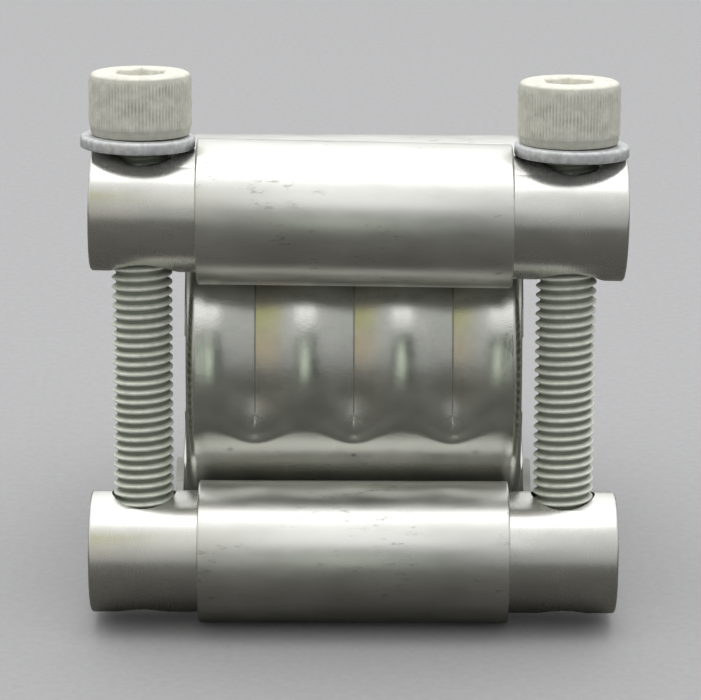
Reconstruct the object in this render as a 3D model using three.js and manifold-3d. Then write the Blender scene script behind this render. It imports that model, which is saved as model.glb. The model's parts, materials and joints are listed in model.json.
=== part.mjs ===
// Slit-band pipe coupling for one 33.7 mm (DN 25) pipe joint.
// A stainless steel band is bent into a flanged channel, and each of its ends is looped back round a
// solid lock bar. Two M8 x 60 socket head screws pull the bars together and close the band on a rubber
// sleeve and two toothed anchor rings. A fluted plate bridges the slit between the bars.
//
// Millimetres. Everything is laid out in the band's own frame: the pipe axis is X, the slit faces -Y,
// and the screws stand along Z. The finished group is then leaned back so that it lies on the
// surface Z = 0 on the band and the lower loop, centred over the origin.
import * as THREE from "three";
import { mergeVertices } from "three/addons/utils/BufferGeometryUtils.js";
import Module from "manifold-3d";

const wasm = await Module();
wasm.setup();

// Driving dimensions.
const BAND_OUTER_R = 28.2;
const SHEET = 1;
const BAND_WIDTH = 48;
const BAND_CORNER_R = 2.5;
const FLANGE_LIP_R = 19;
const FLANGE_END_DEG = 49;
const TONGUE_WIDTH = 40.6;
const TONGUE_START_DEG = 55;
const FLAP_BEND_R = 4;
const FLAP_DEG = 18;
const BAR_R = 8;
const BAR_LENGTH = 68.8;
const BAR_CHAMFER = 0.5;
const BAR_Z = 22.6;
const BAR_PLAY = 0.35;
const UPPER_BAR_SHIFT = 0.5;
const UPPER_BAR_TILT_DEG = 1;
const LOOP_LEAN_RUN = 8;
const SCREW_X = 27.5;
const SCREW_R = 3.95;
const SCREW_LENGTH = 60;
const SCREW_TIP_CHAMFER = 1;
const HEAD_R = 6.5;
const HEAD_HEIGHT = 8;
const HEAD_EDGE = 0.8;
const SOCKET_ACROSS_FLATS = 6;
const SOCKET_DEPTH = 4;
const WASHER_R = 7.4;
const WASHER_HOLE_R = 4.45;
const WASHER_SHIFT = 0.4;
const WASHER_THICKNESS = 1.6;
const CLEARANCE_HOLE_R = 4.8;
const TAPPED_HOLE_R = 4.2;
const SEAT_GAP = 0.15;
const PLATE_OUTER_R = 26.9;
const PLATE_THICKNESS = 0.8;
const PLATE_WIDTH = 44.2;
const PLATE_EDGE_R = 1.3;
const PLATE_LOW_DEG = -62;
const PLATE_HIGH_DEG = 60;
const FLUTE_PITCH = 13;
const FLUTE_DEPTH = 1.4;
const FLUTE_SINK = 0.24;
const FLUTE_STEP = 1.7;
const FLUTE_WAVE = 1.8;
const FLUTE_LOW_DEG = -19.5;
const FLUTE_HIGH_DEG = 46;
const FLUTE_RUNOUT = 7.5;
const SLEEVE_OUTER_R = 26.8;
const SLEEVE_RECESS_R = 24.3;
const SLEEVE_LIP_R = 17.6;
const SLEEVE_HALF_WIDTH = 15.5;
const ANCHOR_TEETH = 16;
const ANCHOR_SLIT = 10;
const ANCHOR_SLOT_R = 22.4;
const FLEX_NOTCH_DEG = 4.5;
const BACK_GAP = 0.3;
const RING_STEPS = 56;
const FAR = 90;

const bandInnerR = BAND_OUTER_R - SHEET;
const bandMidR = BAND_OUTER_R - SHEET / 2;
const loopInnerR = BAR_R + BAR_PLAY;
const loopMidR = loopInnerR + SHEET / 2;
const loopOuterR = loopInnerR + SHEET;
const barReach = bandMidR + loopMidR;
const barY = -Math.sqrt(barReach ** 2 - BAR_Z ** 2);
const barAngle = Math.atan2(BAR_Z, -barY);
const flapMidR = BAND_OUTER_R + SHEET / 2;
const restTilt = barAngle - Math.asin((BAND_OUTER_R - loopOuterR) / barReach);
const washerZ = BAR_Z + BAR_R + SEAT_GAP;
const headZ = washerZ + WASHER_THICKNESS + SEAT_GAP;

const radians = THREE.MathUtils.degToRad;
const ALONG_PIPE_FROM_SHAPE = new THREE.Matrix4().makeBasis(
  new THREE.Vector3(0, 1, 0),
  new THREE.Vector3(0, 0, 1),
  new THREE.Vector3(1, 0, 0),
);
const ALONG_PIPE_FROM_LATHE = new THREE.Matrix4().makeBasis(
  new THREE.Vector3(0, 0, 1),
  new THREE.Vector3(1, 0, 0),
  new THREE.Vector3(0, 1, 0),
);

const brushed = new THREE.MeshStandardMaterial({ color: 0xb9b8b0, roughness: 0.38, metalness: 1 });
const bright = new THREE.MeshStandardMaterial({ color: 0xb4b4ac, roughness: 0.2, metalness: 1 });
const turned = new THREE.MeshStandardMaterial({ color: 0xb0aea4, roughness: 0.33, metalness: 1 });
const zinc = new THREE.MeshStandardMaterial({ color: 0xbfc0b0, roughness: 0.6, metalness: 0.6 });
const washerZinc = new THREE.MeshStandardMaterial({ color: 0xc6c8ca, roughness: 0.5, metalness: 0.7 });
const spring = new THREE.MeshStandardMaterial({ color: 0x8e8d88, roughness: 0.35, metalness: 1 });
const rubber = new THREE.MeshStandardMaterial({ color: 0x1c1c1c, roughness: 0.8, metalness: 0 });

// A closed three.js geometry as a solid that can be joined and cut, whichever way its faces were wound.
function solidOf(geometry) {
  const bare = geometry.clone();
  bare.deleteAttribute("normal");
  bare.deleteAttribute("uv");
  const merged = mergeVertices(bare, 1e-4);
  const vertProperties = merged.attributes.position.array;
  const triVerts = new Uint32Array(merged.index.array);
  const solid = new wasm.Manifold(new wasm.Mesh({ numProp: 3, vertProperties, triVerts }));
  if (solid.volume() > 0) return solid;
  return new wasm.Manifold(new wasm.Mesh({ numProp: 3, vertProperties, triVerts: triVerts.reverse() }));
}

function geometryOf(solid) {
  const cut = solid.getMesh();
  return new THREE.BufferGeometry()
    .setAttribute("position", new THREE.BufferAttribute(cut.vertProperties, 3))
    .setIndex(new THREE.BufferAttribute(cut.triVerts, 1));
}

function piece(name, solid, material) {
  const geometry = geometryOf(solid);
  geometry.computeVertexNormals();
  const mesh = new THREE.Mesh(geometry, material);
  mesh.name = name;
  return mesh;
}

// A point at an angle from the slit's middle, positive upwards, in the band's Y Z plane.
function polar(radius, angle) {
  return new THREE.Vector2(-radius * Math.cos(angle), radius * Math.sin(angle));
}

// An outline in the band's Y Z plane, extruded along the pipe and centred on it.
function extruded(outline, width) {
  const shape = new THREE.Shape(outline);
  const geometry = new THREE.ExtrudeGeometry(shape, { depth: width, bevelEnabled: false });
  return geometry.translate(0, 0, -width / 2).applyMatrix4(ALONG_PIPE_FROM_SHAPE);
}

function alongPipe(outline, width) {
  return solidOf(extruded(outline, width));
}

// A closed profile of (radius, position along the pipe), turned about the pipe axis.
function turnedAboutPipe(profile, steps = RING_STEPS) {
  const closed = [...profile, profile[0].clone()];
  return solidOf(new THREE.LatheGeometry(closed, steps).applyMatrix4(ALONG_PIPE_FROM_LATHE));
}

// A profile of (radius, height), turned about the local Z axis.
function turnedUpright(profile, steps) {
  return solidOf(new THREE.LatheGeometry(profile, steps).rotateX(Math.PI / 2));
}

// Points along an arc of the outline, ends included.
function arcPoints(centre, radius, from, to, stepDeg) {
  const count = Math.max(1, Math.ceil(Math.abs(to - from) / radians(stepDeg)));
  return Array.from({ length: count + 1 }, (_, i) => {
    const angle = from + ((to - from) * i) / count;
    return new THREE.Vector2(centre.x + radius * Math.cos(angle), centre.y + radius * Math.sin(angle));
  });
}

// Eases from 0 to 1 while the value does.
function smoothStep(value) {
  const share = Math.min(1, Math.max(0, value));
  return share * share * (3 - 2 * share);
}

// Evenly spaced values that stop one step short of the last.
function spread(from, to, count) {
  return Array.from({ length: count }, (_, i) => from + ((to - from) * i) / count);
}

// The band's channel: outer wall, rounded corners and two in-turned flanges.
function channelProfile() {
  const half = BAND_WIDTH / 2;
  const corner = (sign, radius) => {
    const centre = new THREE.Vector2(BAND_OUTER_R - BAND_CORNER_R, sign * (half - BAND_CORNER_R));
    return arcPoints(centre, radius, (sign * Math.PI) / 2, 0, 30);
  };
  const outside = [...corner(1, BAND_CORNER_R), ...corner(-1, BAND_CORNER_R).reverse()];
  const inside = [...corner(-1, BAND_CORNER_R - SHEET), ...corner(1, BAND_CORNER_R - SHEET).reverse()];
  return [
    new THREE.Vector2(FLANGE_LIP_R, half),
    ...outside,
    new THREE.Vector2(FLANGE_LIP_R, -half),
    new THREE.Vector2(FLANGE_LIP_R, -half + SHEET),
    ...inside,
    new THREE.Vector2(FLANGE_LIP_R, half - SHEET),
  ];
}

// Mid line of the sheet from the band's wall, round the bar and back onto the band. It is drawn for the
// upper half, in pieces: [centre, radius, first angle, last angle, curl], where curl is the side that
// the sheet bends to.
function tonguePieces() {
  const pipeAxis = new THREE.Vector2(0, 0);
  const bar = polar(barReach, barAngle);
  const bendR = FLAP_BEND_R;
  const toBend = flapMidR + bendR;
  const barToBend = loopMidR + bendR;
  const swing = Math.acos((toBend ** 2 + barReach ** 2 - barToBend ** 2) / (2 * toBend * barReach));
  const landing = barAngle + swing;
  const bend = polar(toBend, landing);
  const fromBar = Math.atan2(bend.y - bar.y, bend.x - bar.x);
  const touch = Math.atan2(-bar.y, -bar.x);
  const onPipe = (angle) => Math.PI - angle;
  const bendStart = Math.atan2(bar.y - bend.y, bar.x - bend.x);
  const bendEnd = Math.atan2(-bend.y, -bend.x);
  return [
    [pipeAxis, bandMidR, onPipe(radians(TONGUE_START_DEG)), onPipe(barAngle), 1],
    [bar, loopMidR, touch, fromBar - 2 * Math.PI, -1],
    [bend, bendR, bendStart + (bendStart < 0 ? 2 * Math.PI : 0), bendEnd + 2 * Math.PI, 1],
    [pipeAxis, flapMidR, onPipe(landing), onPipe(landing + radians(FLAP_DEG)), -1],
  ];
}

function tongueOutline(side) {
  const offset = (shift) =>
    tonguePieces().flatMap(([centre, radius, from, to, curl]) =>
      arcPoints(centre, radius - curl * shift, from, to, 12),
    );
  const outline = [...offset(SHEET / 2), ...offset(-SHEET / 2).reverse()];
  return outline.map((point) => new THREE.Vector2(point.x, side * point.y));
}

// Leans the upper loop down to the right with its bar; the sheet stays level where it meets the ring.
function leant(tongue) {
  const at = tongue.attributes.position;
  for (let i = 0; i < at.count; i++) {
    const clear = Math.hypot(at.getY(i), at.getZ(i)) - BAND_OUTER_R - SHEET;
    const share = smoothStep(clear / LOOP_LEAN_RUN);
    at.setZ(i, at.getZ(i) - at.getX(i) * Math.tan(radians(UPPER_BAR_TILT_DEG)) * share);
  }
  return tongue;
}

// One half of the band: side 1 is the upper half, side -1 the lower. The two halves meet at the back,
// where the real sheet flexes, and the flanges are notched there to leave room for it.
function bandHalf(side) {
  const flangeEnd = radians(FLANGE_END_DEG);
  const apexX = polar(2, flangeEnd).x;
  const apexRise = (bandMidR - apexX) * Math.tan(radians(FLEX_NOTCH_DEG));
  const keep = [
    new THREE.Vector2(apexX, BACK_GAP / 2 + apexRise),
    new THREE.Vector2(bandMidR, BACK_GAP / 2),
    new THREE.Vector2(FAR, BACK_GAP / 2),
    new THREE.Vector2(FAR, FAR),
    polar(FAR / Math.sin(flangeEnd), flangeEnd),
  ];
  const wedge = alongPipe(keep.map((point) => new THREE.Vector2(point.x, side * point.y)), FAR);
  const channel = turnedAboutPipe(channelProfile()).intersect(wedge);
  const tongue = extruded(tongueOutline(side), TONGUE_WIDTH);
  return channel.add(solidOf(side > 0 ? leant(tongue) : tongue));
}

function lockBar(holeR) {
  const half = BAR_LENGTH / 2;
  const profile = [
    new THREE.Vector2(0, -half),
    new THREE.Vector2(BAR_R - BAR_CHAMFER, -half),
    new THREE.Vector2(BAR_R, -half + BAR_CHAMFER),
    new THREE.Vector2(BAR_R, half - BAR_CHAMFER),
    new THREE.Vector2(BAR_R - BAR_CHAMFER, half),
    new THREE.Vector2(0, half),
  ];
  let bar = solidOf(new THREE.LatheGeometry(profile, 40).applyMatrix4(ALONG_PIPE_FROM_LATHE));
  for (const x of [-SCREW_X, SCREW_X]) {
    const drill = new THREE.CylinderGeometry(holeR, holeR, 4 * BAR_R, 28).rotateX(Math.PI / 2);
    bar = bar.subtract(solidOf(drill.translate(x, 0, 0)));
  }
  return bar;
}

// A socket head screw with its bearing face at Z = 0 and its shank below it.
function screw() {
  const profile = [
    new THREE.Vector2(0, -SCREW_LENGTH),
    new THREE.Vector2(SCREW_R - SCREW_TIP_CHAMFER, -SCREW_LENGTH),
    new THREE.Vector2(SCREW_R, -SCREW_LENGTH + SCREW_TIP_CHAMFER),
    new THREE.Vector2(SCREW_R, 0),
    new THREE.Vector2(HEAD_R - HEAD_EDGE / 2, 0),
    new THREE.Vector2(HEAD_R, HEAD_EDGE / 2),
    new THREE.Vector2(HEAD_R, HEAD_HEIGHT - HEAD_EDGE),
    new THREE.Vector2(HEAD_R - HEAD_EDGE, HEAD_HEIGHT),
    new THREE.Vector2(0, HEAD_HEIGHT),
  ];
  const socketR = SOCKET_ACROSS_FLATS / Math.sqrt(3);
  const socket = new THREE.CylinderGeometry(socketR, socketR, 2 * SOCKET_DEPTH, 6).rotateX(Math.PI / 2);
  return turnedUpright(profile, 36).subtract(solidOf(socket.translate(0, 0, HEAD_HEIGHT)));
}

function washer() {
  const edge = 0.2;
  const profile = [
    new THREE.Vector2(WASHER_HOLE_R, 0),
    new THREE.Vector2(WASHER_R - edge, 0),
    new THREE.Vector2(WASHER_R, edge),
    new THREE.Vector2(WASHER_R, WASHER_THICKNESS - edge),
    new THREE.Vector2(WASHER_R - edge, WASHER_THICKNESS),
    new THREE.Vector2(WASHER_HOLE_R, WASHER_THICKNESS),
    new THREE.Vector2(WASHER_HOLE_R, 0),
  ];
  return turnedUpright(profile, 36);
}

// How far the plate's outer face lies inside its own radius. The fluted field is pressed in, with a
// sharp valley at every pitch that runs out in a bowl at each end, and the side edges curl in.
function plateSink(x, angle) {
  const ridge = Math.abs(Math.sin((Math.PI * x) / FLUTE_PITCH));
  const toEnd = PLATE_OUTER_R * Math.min(angle - radians(FLUTE_LOW_DEG), radians(FLUTE_HIGH_DEG) - angle);
  const inField = toEnd - FLUTE_WAVE * ridge ** 2;
  const flute = FLUTE_DEPTH * (1 - ridge) * smoothStep(inField / FLUTE_RUNOUT);
  const field = FLUTE_SINK * smoothStep(inField / (FLUTE_STEP * (1 + 1.3 * ridge ** 2)));
  const past = Math.max(0, Math.abs(x) - (PLATE_WIDTH / 2 - PLATE_EDGE_R)) / PLATE_EDGE_R;
  const curl = PLATE_EDGE_R * (1 - Math.sqrt(1 - Math.min(1, past * 0.96) ** 2));
  return field + curl + (Math.abs(x) > 1.5 * FLUTE_PITCH ? 0 : flute);
}

// Where the plate is measured along the pipe: closest at the valleys and round the curled edges.
function plateColumns() {
  const inPitches = [0, 0.08, 0.18, 0.32, 0.5, 0.68, 0.82, 0.92, 1, 1.08, 1.18, 1.32, 1.5];
  const overEdge = [0.3, 0.6, 0.85, 1];
  const edgeStart = PLATE_WIDTH / 2 - PLATE_EDGE_R;
  const right = [
    ...inPitches.map((share) => share * FLUTE_PITCH),
    ...overEdge.map((share) => edgeStart + share * PLATE_EDGE_R),
  ];
  return [...right.slice(1).reverse().map((x) => -x), ...right];
}

// Where the plate is measured round the pipe: closest where the flutes run out.
function plateAngles() {
  const runout = [0, 1.5, 3.2, 5.4, 8, 11];
  const middle = spread(FLUTE_LOW_DEG + runout.at(-1), FLUTE_HIGH_DEG - runout.at(-1), 6);
  const degrees = [
    ...spread(PLATE_LOW_DEG, FLUTE_LOW_DEG, 5),
    ...runout.map((step) => FLUTE_LOW_DEG + step),
    ...middle.slice(1),
    ...runout.map((step) => FLUTE_HIGH_DEG - step).reverse(),
    ...spread(PLATE_HIGH_DEG, FLUTE_HIGH_DEG, 2).reverse(),
  ];
  return degrees.map(radians);
}

// A thin box, bent over the sleeve: its width runs along the pipe, its height round it.
function bridgePlate() {
  const columns = plateColumns();
  const angles = plateAngles();
  const geometry = new THREE.BoxGeometry(1, 1, 1, columns.length - 1, angles.length - 1, 1);
  const corner = geometry.attributes.position;
  for (let i = 0; i < corner.count; i++) {
    const x = columns[Math.round((corner.getX(i) + 0.5) * (columns.length - 1))];
    const angle = angles[Math.round((corner.getY(i) + 0.5) * (angles.length - 1))];
    const depth = (0.5 - corner.getZ(i)) * PLATE_THICKNESS;
    const point = polar(PLATE_OUTER_R - plateSink(x, angle) - depth, angle);
    corner.setXYZ(i, x, point.x, point.y);
  }
  return solidOf(geometry);
}

// A sector of the bore's Y Z plane between two angles, wide enough to cut any ring.
function sector(fromDeg, toDeg, radius) {
  const axis = new THREE.Vector2(0, 0);
  return [axis, ...arcPoints(axis, radius, Math.PI - radians(fromDeg), Math.PI - radians(toDeg), 10)];
}

// The rubber sleeve: an outer wall, two sealing lips that lean inwards, and a recess under the plate.
function sealingSleeve() {
  const half = SLEEVE_HALF_WIDTH;
  const channelR = 21.4;
  const right = [
    [SLEEVE_OUTER_R, half - 1], [SLEEVE_OUTER_R - 1, half], [21, half], [19.2, half - 1.6],
    [SLEEVE_LIP_R, half - 5.5], [SLEEVE_LIP_R, half - 7.5], [19.4, half - 6.2], [channelR, half - 5],
  ];
  const mirror = right.map(([r, x]) => [r, -x]).reverse();
  const profile = [...right, ...mirror].map(([r, x]) => new THREE.Vector2(r, x));
  const ring = turnedAboutPipe(profile, 48);
  const shell = alongPipe(sector(PLATE_LOW_DEG - 3, PLATE_HIGH_DEG + 3, 40), FAR);
  const core = new THREE.CylinderGeometry(SLEEVE_RECESS_R, SLEEVE_RECESS_R, 2 * FAR, 48);
  return ring.subtract(shell.subtract(solidOf(core.rotateZ(Math.PI / 2))));
}

// A split conical ring in the corner of the channel, slotted into teeth that lean into the pipe.
function anchorRing(side) {
  const outerX = BAND_WIDTH / 2 - SHEET - 0.6;
  const cone = [
    [23.5, outerX], [22.3, outerX], [17.9, 17.6], [18.6, 16.8], [23.5, 21.2],
  ];
  const profile = cone.map(([r, x]) => new THREE.Vector2(r, side * x));
  let ring = turnedAboutPipe(profile, 48);
  const slit = new THREE.BoxGeometry(FAR, FAR, ANCHOR_SLIT).translate(0, -FAR / 2, 0);
  ring = ring.subtract(solidOf(slit));
  for (let tooth = 1; tooth < ANCHOR_TEETH; tooth++) {
    const slot = new THREE.BoxGeometry(FAR, ANCHOR_SLOT_R, 1).translate(0, -ANCHOR_SLOT_R / 2, 0);
    slot.rotateX((-2 * Math.PI * tooth) / ANCHOR_TEETH);
    ring = ring.subtract(solidOf(slot));
  }
  return ring;
}

function at(mesh, x, y, z) {
  mesh.position.set(x, y, z);
  return mesh;
}

// The upper bar leans down to the right, because the right screw is pulled down further.
function tilted(mesh) {
  mesh.rotation.y = radians(UPPER_BAR_TILT_DEG);
  return mesh;
}

// Height that the upper bar's lean adds to what sits on it.
function seatRise(x) {
  return (UPPER_BAR_SHIFT - x) * Math.tan(radians(UPPER_BAR_TILT_DEG));
}

const coupling = new THREE.Group();
coupling.add(
  piece("casing_upper", bandHalf(1), brushed),
  piece("casing_lower", bandHalf(-1), brushed),
  tilted(at(piece("lock_bar_upper", lockBar(CLEARANCE_HOLE_R), turned), UPPER_BAR_SHIFT, barY, BAR_Z)),
  at(piece("lock_bar_lower", lockBar(TAPPED_HOLE_R), turned), 0, barY, -BAR_Z),
  piece("bridge_plate", bridgePlate(), bright),
  piece("sealing_sleeve", sealingSleeve(), rubber),
);
for (const [label, side] of [["left", -1], ["right", 1]]) {
  const x = side * (SCREW_X + WASHER_SHIFT);
  coupling.add(
    at(piece(`screw_${label}`, screw(), zinc), side * SCREW_X, barY, headZ + seatRise(side * SCREW_X)),
    tilted(at(piece(`washer_${label}`, washer(), washerZinc), x, barY, washerZ + seatRise(x))),
    piece(`anchor_ring_${label}`, anchorRing(side), spring),
  );
}
coupling.rotation.x = -restTilt;

const part = new THREE.Group();
part.add(coupling);
const bounds = new THREE.Box3().setFromObject(part, true);
const centre = bounds.getCenter(new THREE.Vector3());
coupling.position.set(-centre.x, -centre.y, -bounds.min.z);

export default part;
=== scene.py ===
"""Looks for the slit-band pipe coupling.

Its pieces are the band, two lock bars, two screws with washers, the bridge plate, the sleeve and
two anchor rings. Shapes are laid out in millimetres in the coupling's own frame (pipe axis X, slit
towards -Y, screws along Z, ring centre at the origin), and TO_ROW turns them into metres in the row
frame.
"""

import json
import math

import bmesh
import bpy
import numpy as np
from mathutils import Matrix, Vector


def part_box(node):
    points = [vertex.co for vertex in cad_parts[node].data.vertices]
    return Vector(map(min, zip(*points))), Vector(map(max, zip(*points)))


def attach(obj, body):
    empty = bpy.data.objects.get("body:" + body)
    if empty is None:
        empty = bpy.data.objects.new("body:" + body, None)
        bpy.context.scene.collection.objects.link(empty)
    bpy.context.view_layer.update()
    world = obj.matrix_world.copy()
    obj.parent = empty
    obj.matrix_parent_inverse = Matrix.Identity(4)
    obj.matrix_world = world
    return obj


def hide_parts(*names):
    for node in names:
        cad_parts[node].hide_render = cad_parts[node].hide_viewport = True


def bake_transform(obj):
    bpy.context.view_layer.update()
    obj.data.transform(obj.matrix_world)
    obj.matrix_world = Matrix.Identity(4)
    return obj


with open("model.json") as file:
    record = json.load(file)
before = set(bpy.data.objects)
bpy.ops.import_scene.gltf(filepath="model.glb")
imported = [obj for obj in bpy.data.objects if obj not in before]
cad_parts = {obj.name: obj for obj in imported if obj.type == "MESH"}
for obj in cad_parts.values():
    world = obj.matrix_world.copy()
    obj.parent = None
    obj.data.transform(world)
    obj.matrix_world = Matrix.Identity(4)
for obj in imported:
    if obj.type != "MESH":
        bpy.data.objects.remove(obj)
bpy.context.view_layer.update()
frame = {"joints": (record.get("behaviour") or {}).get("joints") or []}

MM = 0.001
FULL_TURN = 2 * math.pi
BAND_OUTER_R = 28.2
SHEET = 1.0
BAND_MID_R = BAND_OUTER_R - SHEET / 2
BAND_WIDTH = 48.0
BAND_CORNER_R = 2.5
FLANGE_LIP_R = 19.0
FLANGE_END_DEG = 49.0
TONGUE_WIDTH = 40.6
FLAP_BEND_R = 4.0
FLAP_DEG = 18.0
FLAP_GAP = 0.02
TONGUE_EDGE_R = 0.28
WELD_COUNT = 5
WELD_PITCH = 7.6
WELD_PROFILE = ((2.3, -0.12), (2.2, 0.02), (1.95, 0.07), (1.75, 0.04), (1.6, 0.0), (0.02, 0.0))
BAR_R = 8.0
BAR_CHAMFER = 0.3
BAR_LENGTH = 68.8
BAR_TILT_DEG = 1.0
DRILL_REACH = 12
LOOP_MID_R = 8.85
LOOP_LEAN_RUN = 8.0
SCREW_X = 27.5
SCREW_LENGTH = 60.0
THREAD_PITCH = 1.25
THREAD_CREST_R = 3.93
THREAD_ROOT_R = 3.36
HEAD_R = 6.55
HEAD_HEIGHT = 8.0
KNURL_COUNT = 92
KNURL_DEPTH = 0.2
SOCKET_FLAT_R = 3.0
SOCKET_DEPTH = 4.0
SOCKET_MOUTH_R = 3.62
WASHER_R = 7.4
WASHER_HOLE_R = 4.4
WASHER_THICKNESS = 1.6
HEAD_GAP = 0.13
CLEARANCE_HOLE_R = 4.8
TAPPED_HOLE_R = 4.2
PLATE_OUTER_R = 26.9
PLATE_THICKNESS = 0.8
PLATE_WIDTH = 44.2
PLATE_EDGE_R = 1.3
PLATE_LOW_DEG = -62.0
PLATE_HIGH_DEG = 60.0
FLUTE_PITCH = 13.0
FLUTE_DEPTH = 1.4
FLUTE_SINK = 0.24
FLUTE_STEP = 1.7
FLUTE_WAVE = 1.8
FLUTE_LOW_DEG = -19.5
FLUTE_HIGH_DEG = 46.0
FLUTE_RUNOUT = 7.5
FORK_RUN = 4.1
VALLEY_HALF_WIDTH = 0.09
FORK_HALF_WIDTH = 0.28
PIT_HALF_WIDTH = 0.42
PIT_HALF_HEIGHT = 0.3
PLATE_PITS = ((-16.3, -21.0, 0.35), (0.0, -23.0, 0.9), (16.1, -21.6, 0.35))
# painted shade on the plate where it runs in behind the loops: the angles where it starts, how far it
# fades in, and how dark it gets
LOOP_SHADE_LOW_DEG = -24.0
LOOP_SHADE_HIGH_DEG = 21.0
LOOP_SHADE_RUN_DEG = 9.0
LOOP_SHADE_SHARE = 0.75
SLEEVE_OUTER_R = 26.8
SLEEVE_RECESS_R = 24.3
SLEEVE_LIP_R = 17.7
SLEEVE_HALF_WIDTH = 15.5
ANCHOR_TEETH = 16
ANCHOR_HALF_SLIT = 5.0
ANCHOR_BACK_R = 23.0
ANCHOR_SLOT = 0.024
MARKS_SHIFT = 7.9


def joint(name):
    return next(j for j in frame["joints"] if j["name"] == name)


def box_centre(node):
    low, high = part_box(node)
    return (Vector(low) + Vector(high)) / 2


UP = -Vector(joint("screw_left_feed")["axis"])
BACK = UP.cross(Vector((1, 0, 0)))
HINGE = Vector(joint("band_flex")["pos_m"])
RING_CENTRE = HINGE - BACK * BAND_MID_R * MM
TURN_TO_ROW = Matrix((Vector((1, 0, 0)), BACK, UP)).transposed().to_4x4()
TO_ROW = Matrix.Translation(RING_CENTRE) @ TURN_TO_ROW @ Matrix.Scale(MM, 4)
TO_LOCAL = TO_ROW.inverted()
BAR_UPPER = TO_LOCAL @ box_centre("lock_bar_upper")
BAR_LOWER = TO_LOCAL @ box_centre("lock_bar_lower")


# ---- Node material helpers ----

class Nodes:
    """A small builder for one procedural material."""

    def __init__(self, name):
        self.material = bpy.data.materials.new(name)
        self.material.use_nodes = True
        self.tree = self.material.node_tree
        self.bsdf = self.tree.nodes["Principled BSDF"]
        self.place = self.node("ShaderNodeTexCoord").outputs["Object"]

    def node(self, kind, **settings):
        made = self.tree.nodes.new(kind)
        for key, value in settings.items():
            setattr(made, key, value)
        return made

    def link(self, source, target):
        if hasattr(source, "is_output"):
            self.tree.links.new(source, target)
        else:
            target.default_value = source

    def scaled(self, scale, shift=0.0):
        mapping = self.node("ShaderNodeMapping")
        mapping.inputs["Scale"].default_value = scale
        mapping.inputs["Location"].default_value = (shift, shift, shift)
        self.link(self.place, mapping.inputs["Vector"])
        return mapping.outputs["Vector"]

    def noise(self, scale, detail=4.0, roughness=0.6, shift=0.0):
        made = self.node("ShaderNodeTexNoise")
        made.inputs["Scale"].default_value = 1.0
        made.inputs["Detail"].default_value = detail
        made.inputs["Roughness"].default_value = roughness
        self.link(self.scaled(scale, shift), made.inputs["Vector"])
        return made.outputs["Fac"]

    def ramp(self, value, low, high, start, end):
        made = self.node("ShaderNodeMapRange")
        self.link(value, made.inputs["Value"])
        for key, setting in (("From Min", low), ("From Max", high), ("To Min", start), ("To Max", end)):
            made.inputs[key].default_value = setting
        return made.outputs["Result"]

    def math(self, operation, a, b):
        made = self.node("ShaderNodeMath", operation=operation)
        self.link(a, made.inputs[0])
        self.link(b, made.inputs[1])
        return made.outputs["Value"]

    def mix(self, factor, a, b):
        made = self.node("ShaderNodeMix", data_type="RGBA")
        self.link(factor, made.inputs["Factor"])
        self.link(a, made.inputs["A"])
        self.link(b, made.inputs["B"])
        return made.outputs["Result"]

    def bump(self, height, distance, strength=1.0, under=None):
        made = self.node("ShaderNodeBump")
        made.inputs["Strength"].default_value = strength
        made.inputs["Distance"].default_value = distance
        self.link(height, made.inputs["Height"])
        if under is not None:
            self.link(under, made.inputs["Normal"])
        return made.outputs["Normal"]

    def finish(self, color, roughness, metallic, normal, **constants):
        self.link(color, self.bsdf.inputs["Base Color"])
        self.link(roughness, self.bsdf.inputs["Roughness"])
        self.link(metallic, self.bsdf.inputs["Metallic"])
        self.link(normal, self.bsdf.inputs["Normal"])
        for key, value in constants.items():
            self.bsdf.inputs[key].default_value = value
        return self.material


def band_material():
    """Satin mill-finish sheet: fine grain, rubbed patches, faint streaks and a few small dark marks."""
    n = Nodes("band_satin_steel")
    grain = n.noise((3000, 3000, 3000), 3)
    rub = n.noise((120, 260, 260), 4)
    streak = n.noise((40, 1500, 1500), 3)
    smear = n.ramp(n.noise((420, 1300, 1300), 6, 0.72), 0.57, 0.64, 0.0, 1.0)
    where = n.ramp(n.noise((95, 95, 95), 2, shift=MARKS_SHIFT), 0.49, 0.58, 0.0, 1.0)
    mark = n.math("MULTIPLY", smear, where)
    steel = n.mix(n.ramp(rub, 0.3, 0.7, 0.0, 1.0), (0.585, 0.58, 0.55, 1), (0.675, 0.67, 0.645, 1))
    color = n.mix(n.math("MULTIPLY", mark, 0.5), steel, (0.20, 0.205, 0.19, 1))
    rough = n.math("ADD", n.ramp(rub, 0.3, 0.7, 0.29, 0.38), n.math("MULTIPLY", mark, 0.12))
    normal = n.bump(grain, 0.000014, 0.4, n.bump(streak, 0.000006, 0.3))
    return n.finish(color, rough, 1.0, normal)


def bar_material():
    """Turned and ground bar: fine rings round the bar's axis."""
    n = Nodes("bar_turned_steel")
    rings = n.noise((5200, 40, 40), 3)
    broad = n.noise((900, 30, 30), 3)
    patch = n.noise((160, 260, 260), 4)
    color = n.mix(n.ramp(patch, 0.3, 0.7, 0.0, 1.0), (0.60, 0.595, 0.565, 1), (0.67, 0.66, 0.635, 1))
    wear = n.math("ADD", n.math("MULTIPLY", rings, 0.3), n.math("MULTIPLY", patch, 0.7))
    rough = n.ramp(wear, 0.3, 0.7, 0.23, 0.31)
    normal = n.bump(rings, 0.000006, 0.15, n.bump(broad, 0.000004, 0.1))
    return n.finish(color, rough, 1.0, normal)


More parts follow.
